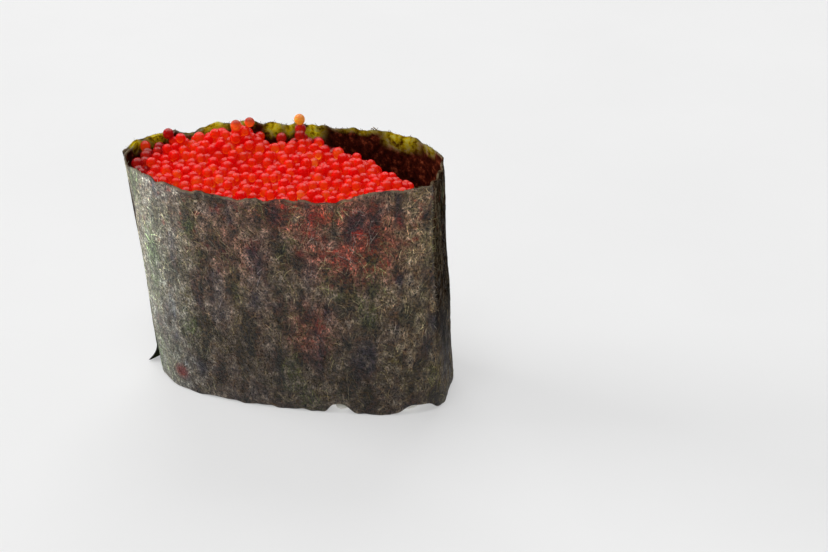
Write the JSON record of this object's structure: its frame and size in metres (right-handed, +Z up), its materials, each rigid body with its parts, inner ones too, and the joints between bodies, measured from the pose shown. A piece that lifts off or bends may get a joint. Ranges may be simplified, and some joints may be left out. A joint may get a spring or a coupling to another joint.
{
  "type": "gunkan sushi",
  "caption": "Oval gunkan sushi: a seaweed band wound round pressed rice and filled to its rim with a heap of small red fish eggs, with a hollow at one end of the heap.",
  "frame": {"origin": "on the surface the piece stands on, under the middle of the whole piece", "axes": "+X along the long side of the oval, towards the end with the hollow in the eggs; +Y to the back, where the wound band overlaps itself; +Z up"},
  "size_m": [0.0528, 0.029, 0.0396],
  "materials": {
    "nori": "dark green-black pressed seaweed with fine fibres, slightly damp",
    "rice": "cooked white rice, moist and slightly translucent",
    "roe": "glossy translucent orange-red fish eggs"
  },
  "bodies": {
    "root": {"nori_wrap": "nori", "rice_block": "rice", "roe_heap": "roe"}
  },
  "joints": []
}
